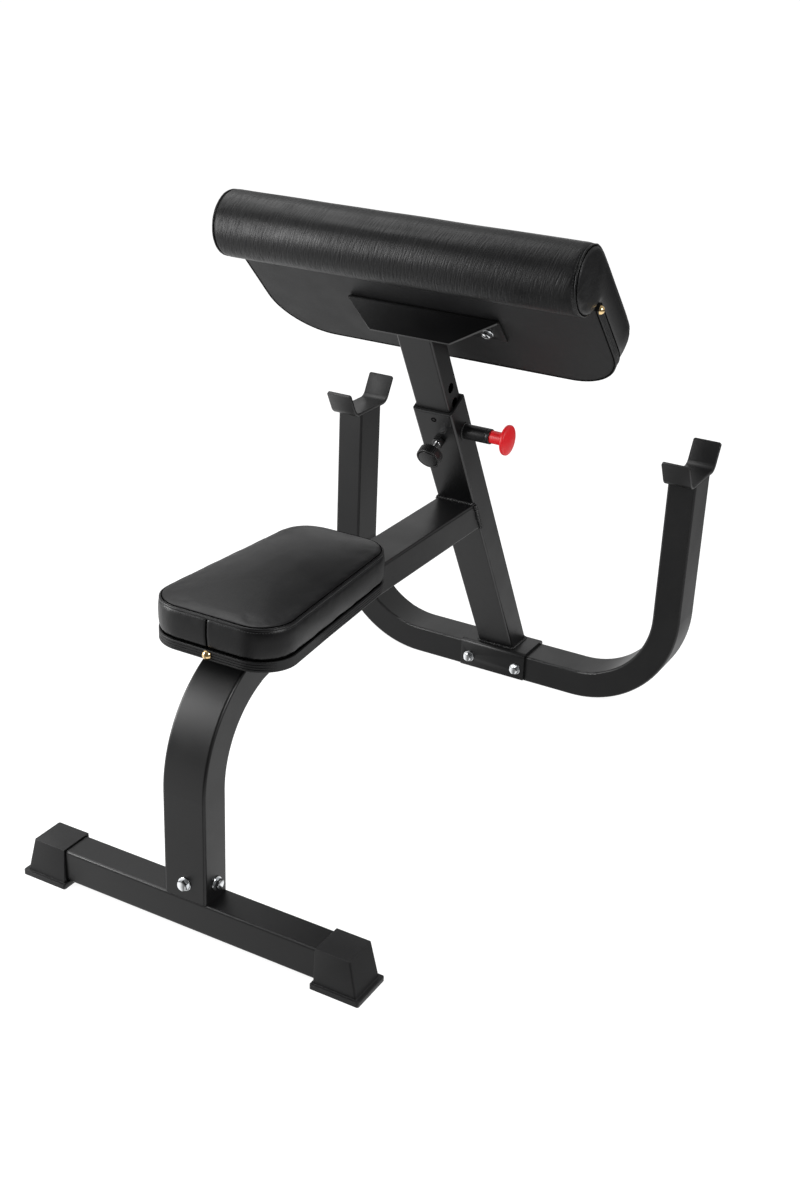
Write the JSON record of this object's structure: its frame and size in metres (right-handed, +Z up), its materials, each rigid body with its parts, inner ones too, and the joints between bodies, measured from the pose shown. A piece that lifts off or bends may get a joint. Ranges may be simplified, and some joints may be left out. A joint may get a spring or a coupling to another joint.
{
  "type": "preacher curl bench",
  "caption": "Free-standing preacher curl bench: seat on a bent beam, leaning upright with a height-adjustable sloping arm pad, spring pin, hand screw and a U-frame with bar catches.",
  "frame": {"origin": "on the floor, at the middle of the bench's footprint box", "axes": "+X to the user's right, +Y from the seat towards the arm pad, +Z up"},
  "size_m": [0.698, 1.0824, 0.9163],
  "materials": {
    "black_powder_coat": "satin black powder coat on steel",
    "black_plastic": "moulded black plastic, matt",
    "zinc_plate": "bright zinc plated steel",
    "bare_steel": "turned steel",
    "chrome_plate": "chrome plated steel",
    "red_plastic": "glossy red moulded plastic",
    "black_leather": "black coated upholstery leather, fine grain, soft sheen",
    "trim_leather": "black stitched edge binding",
    "brass": "polished domed nail",
    "board_wood": "plywood board under a black backing cloth"
  },
  "bodies": {
    "frame": {"rear_stabilizer": "black_powder_coat", "left_foot_cap": "black_plastic", "right_foot_cap": "black_plastic", "seat_post_beam": "black_powder_coat", "post_socket": "black_powder_coat", "socket_nuts": "zinc_plate", "post_washers": "zinc_plate", "post_bolts": "zinc_plate", "u_frame": "black_powder_coat", "left_bar_catch": "black_powder_coat", "right_bar_catch": "black_powder_coat", "saddle_bracket": "black_powder_coat", "saddle_washers": "zinc_plate", "saddle_bolts": "zinc_plate", "saddle_nuts": "zinc_plate", "upright": "black_powder_coat", "post_bushing": "black_plastic", "seat_board": "board_wood", "seat_trim": "trim_leather", "seat_cushion": "black_leather", "seat_nail": "brass", "seat_washers": "zinc_plate", "seat_bolts": "zinc_plate", "seat_tee_nuts": "zinc_plate", "pin_barrel": "black_powder_coat", "pin_spring": "bare_steel", "lock_weld_nut": "black_powder_coat"},
    "pad_carriage": {"pad_post": "black_powder_coat", "post_glide": "black_plastic", "pad_bracket": "black_powder_coat", "pad_washers": "zinc_plate", "pad_bolts": "zinc_plate", "pad_tee_nuts": "zinc_plate", "pad_board": "board_wood", "pad_trim": "trim_leather", "pad_cushion": "black_leather", "arm_roll": "black_leather", "pad_nails": "brass"},
    "plunger": {"plunger_pin": "bare_steel", "pull_knob": "red_plastic"},
    "lock_screw": {"lock_stud": "chrome_plate"},
    "hand_knob": {"lock_knob": "black_plastic"}
  },
  "joints": [
    {"name": "pad_height", "type": "slide", "parent": "frame", "child": "pad_carriage", "axis": [0, -0.4924, 0.8704], "range_m": [-0.0945, 0.063]},
    {"name": "pull_pin", "type": "slide", "parent": "frame", "child": "plunger", "axis": [1, 0, 0], "range_m": [-0.011, 0.006], "stiffness_N_per_m": 1500, "springref_m": -0.02, "deforming": ["pin_spring"]},
    {"name": "lock_travel", "type": "slide", "parent": "frame", "child": "lock_screw", "axis": [0, -0.8704, -0.4924], "range_m": [0, 0.003]},
    {"name": "lock_turn", "type": "hinge", "parent": "lock_screw", "child": "hand_knob", "pos_m": [0, 0.16275, 0.53213], "axis": [0, -0.8704, -0.4924], "range_deg": [0, 722]}
  ],
  "couplings": [
    {"joint": "lock_turn", "follows": "lock_travel", "rad_per_m": 4188.8}
  ]
}
